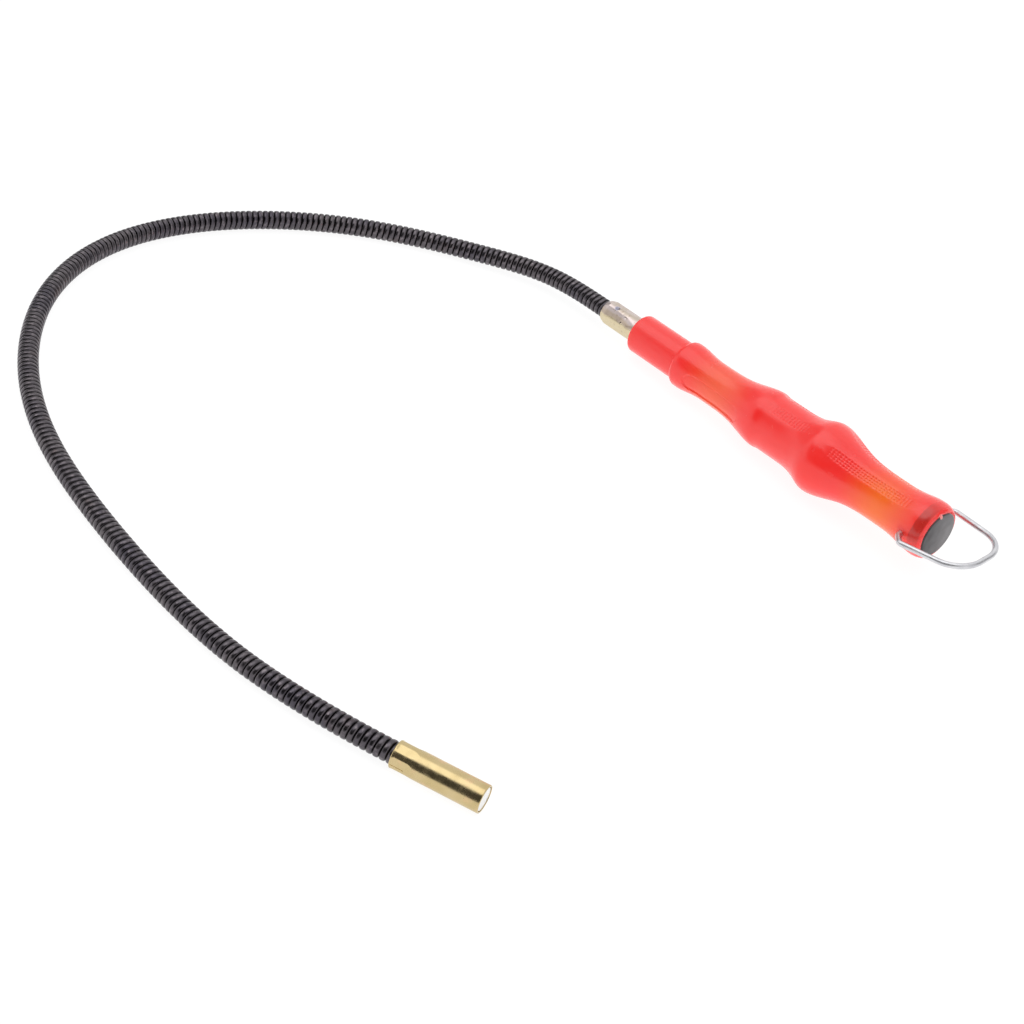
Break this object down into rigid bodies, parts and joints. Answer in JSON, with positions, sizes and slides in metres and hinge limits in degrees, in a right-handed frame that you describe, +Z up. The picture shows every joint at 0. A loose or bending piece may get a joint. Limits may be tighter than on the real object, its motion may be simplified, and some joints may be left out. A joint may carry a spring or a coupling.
{
  "type": "flexible magnetic pick-up tool",
  "caption": "Flexible magnetic pick-up tool: waisted plastic handle with hanging loop and end magnet, and a bendable wound-wire gooseneck that ends in a magnet in a brass sleeve.",
  "frame": {"origin": "on the surface that the tool lies on, under the middle of the handle with its ferrule and hanging loop", "axes": "+X along the handle towards the hanging loop, +Z up from the surface, and the gooseneck curves away from the ferrule to the -Y side"},
  "size_m": [0.2584, 0.2201, 0.0234],
  "materials": {
    "handle_plastic": "glossy translucent red-orange cellulose acetate",
    "end_magnet_grey": "dark grey satin plating",
    "loop_steel": "bright drawn wire",
    "ferrule_zinc": "pale yellow passivated zinc",
    "inner_coil_steel": "plain spring wire",
    "gooseneck_black_oxide": "gun-metal black oxide, satin",
    "sleeve_brass": "bright turned brass, lightly stained",
    "tip_magnet_nickel": "bright nickel plating"
  },
  "bodies": {
    "tool": {"handle": "handle_plastic", "end_magnet": "end_magnet_grey", "ferrule": "ferrule_zinc", "gooseneck_inner_coil": "inner_coil_steel", "gooseneck_outer_coil": "gooseneck_black_oxide", "tip_sleeve": "sleeve_brass", "tip_magnet": "tip_magnet_nickel"},
    "loop": {"hanging_loop": "loop_steel"}
  },
  "joints": [
    {"name": "loop_hinge", "type": "hinge", "parent": "tool", "child": "loop", "pos_m": [0.05363, 0, 0.01367], "axis": [0.0046, -0.9962, -0.087], "range_deg": [-150, 140]}
  ]
}
